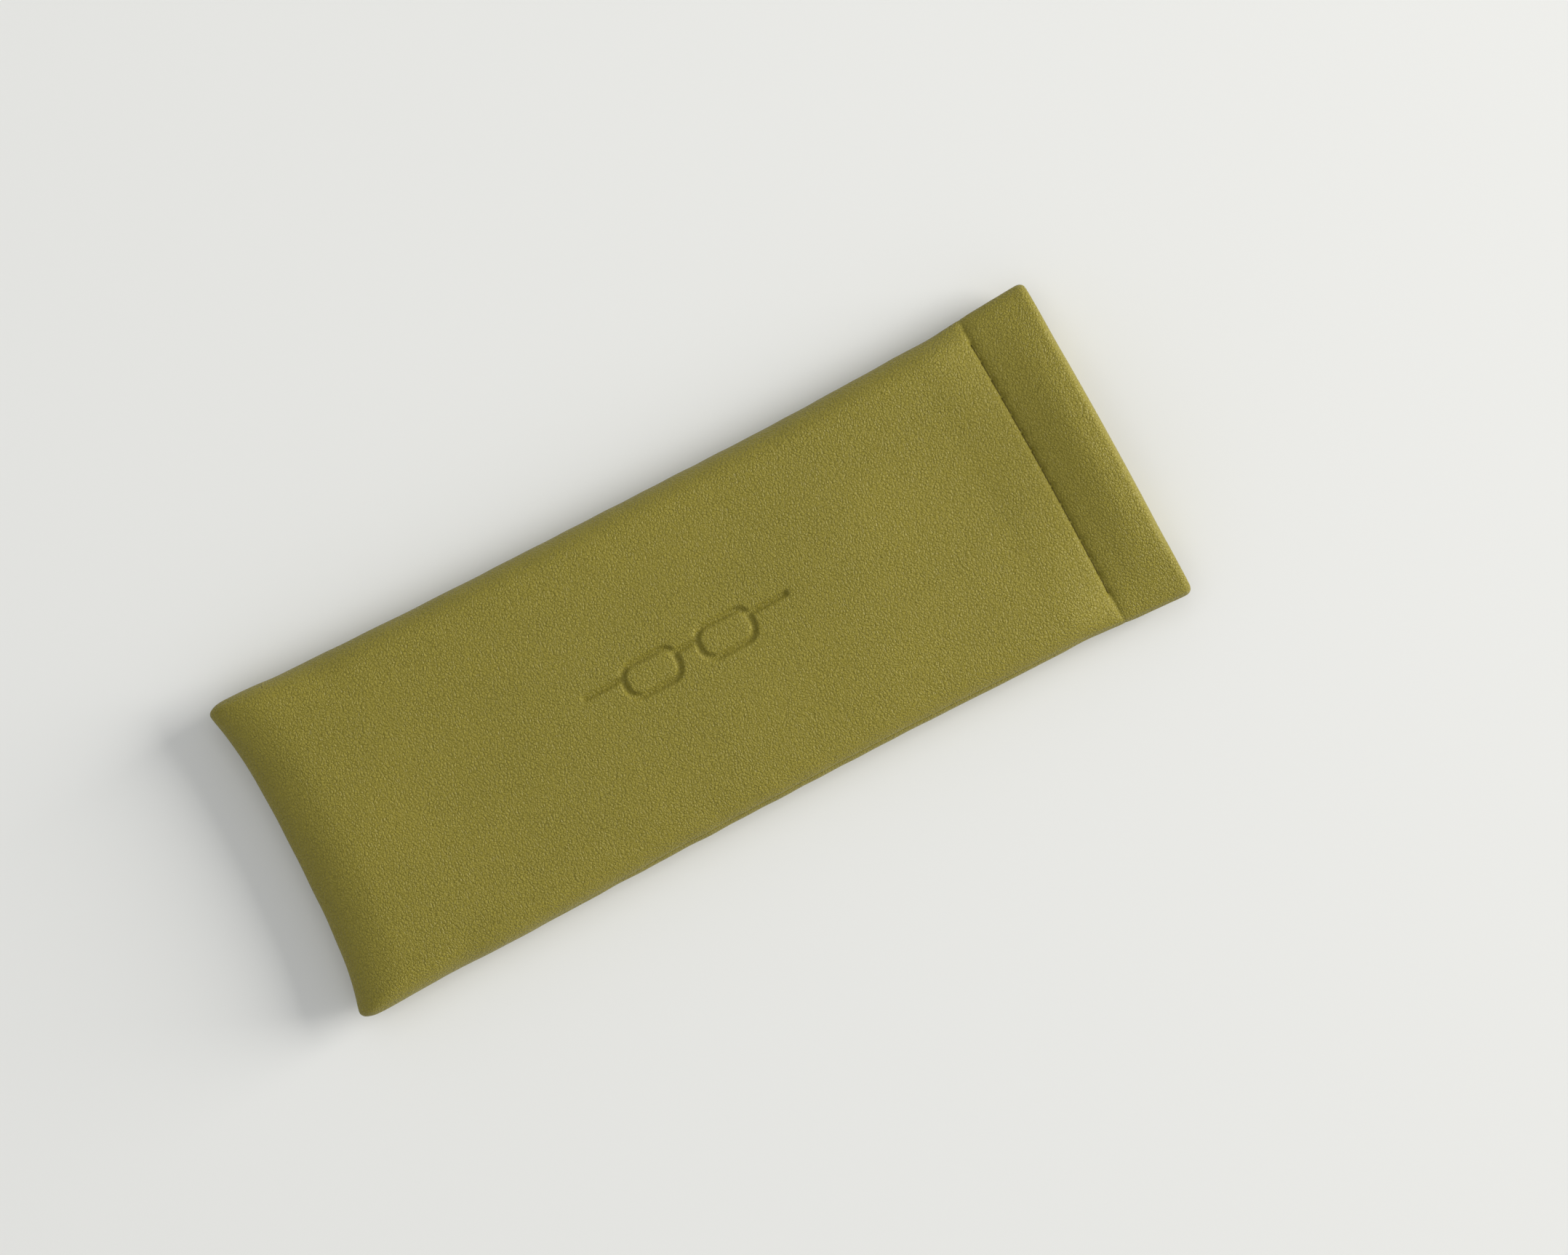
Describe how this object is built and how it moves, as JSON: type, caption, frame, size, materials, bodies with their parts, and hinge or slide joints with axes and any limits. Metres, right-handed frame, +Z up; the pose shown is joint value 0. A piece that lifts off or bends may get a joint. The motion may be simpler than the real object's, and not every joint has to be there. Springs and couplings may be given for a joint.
{
  "type": "soft pouch glasses case",
  "caption": "Slim soft pouch glasses case in padded leather, sewn round its closed edges, with a hemmed mouth that hidden, pinned spring strips hold shut.",
  "frame": {"origin": "on the surface the case lies on, under the middle of the case", "axes": "+X along the case towards its mouth, +Y across it, +Z up, from the back half to the front half"},
  "size_m": [0.1895, 0.0718, 0.014],
  "materials": {
    "outer_leather": "pebbled, satin, olive green",
    "foam": "open-cell foam sheet",
    "lining": "microsuede",
    "thread": "twisted polyester thread",
    "spring_steel": "blued spring strip",
    "plated_steel": "nickel plated",
    "rivet_brass": "brass"
  },
  "bodies": {
    "back_half": {"back_panel": "outer_leather", "back_padding": "foam", "back_lining": "lining", "back_hem_thread": "thread", "back_spring_strip": "spring_steel"},
    "side_seams": {"seam_thread": "thread", "left_pin": "plated_steel", "right_pin": "plated_steel"},
    "front_half": {"front_panel": "outer_leather", "front_padding": "foam", "front_lining": "lining", "front_hem_thread": "thread", "front_spring_strip": "spring_steel"},
    "front_left_end": {"front_left_clasp": "plated_steel", "front_left_rivet": "rivet_brass"},
    "front_right_end": {"front_right_clasp": "plated_steel", "front_right_rivet": "rivet_brass"},
    "back_left_end": {"back_left_clasp": "plated_steel", "back_left_rivet": "rivet_brass"},
    "back_right_end": {"back_right_clasp": "plated_steel", "back_right_rivet": "rivet_brass"}
  },
  "joints": [
    {"name": "mouth_opening", "type": "hinge", "parent": "back_half", "child": "side_seams", "pos_m": [-0.095, 0, 0.007], "axis": [0, -1, 0], "range_deg": [0, 4], "stiffness_Nm_per_rad": 1, "deforming": ["back_spring_strip"]},
    {"name": "front_opening", "type": "hinge", "parent": "side_seams", "child": "front_half", "pos_m": [-0.095, 0, 0.007], "axis": [0, -1, 0], "range_deg": [0, 4], "stiffness_Nm_per_rad": 1, "deforming": ["front_spring_strip"]},
    {"name": "front_left_pivot", "type": "hinge", "parent": "side_seams", "child": "front_left_end", "pos_m": [0.08645, -0.03051, 0.007], "axis": [1, 0, 0], "range_deg": [0, 24]},
    {"name": "front_right_pivot", "type": "hinge", "parent": "side_seams", "child": "front_right_end", "pos_m": [0.08645, 0.03051, 0.007], "axis": [-1, 0, 0], "range_deg": [0, 24]},
    {"name": "back_left_pivot", "type": "hinge", "parent": "side_seams", "child": "back_left_end", "pos_m": [0.08645, -0.03051, 0.007], "axis": [-1, 0, 0], "range_deg": [0, 24]},
    {"name": "back_right_pivot", "type": "hinge", "parent": "side_seams", "child": "back_right_end", "pos_m": [0.08645, 0.03051, 0.007], "axis": [1, 0, 0], "range_deg": [0, 24]}
  ],
  "couplings": [
    {"joint": "front_opening", "follows": "mouth_opening", "ratio": 1},
    {"joint": "front_left_pivot", "follows": "mouth_opening", "ratio": 6},
    {"joint": "front_right_pivot", "follows": "mouth_opening", "ratio": 6},
    {"joint": "back_left_pivot", "follows": "mouth_opening", "ratio": 6},
    {"joint": "back_right_pivot", "follows": "mouth_opening", "ratio": 6}
  ]
}
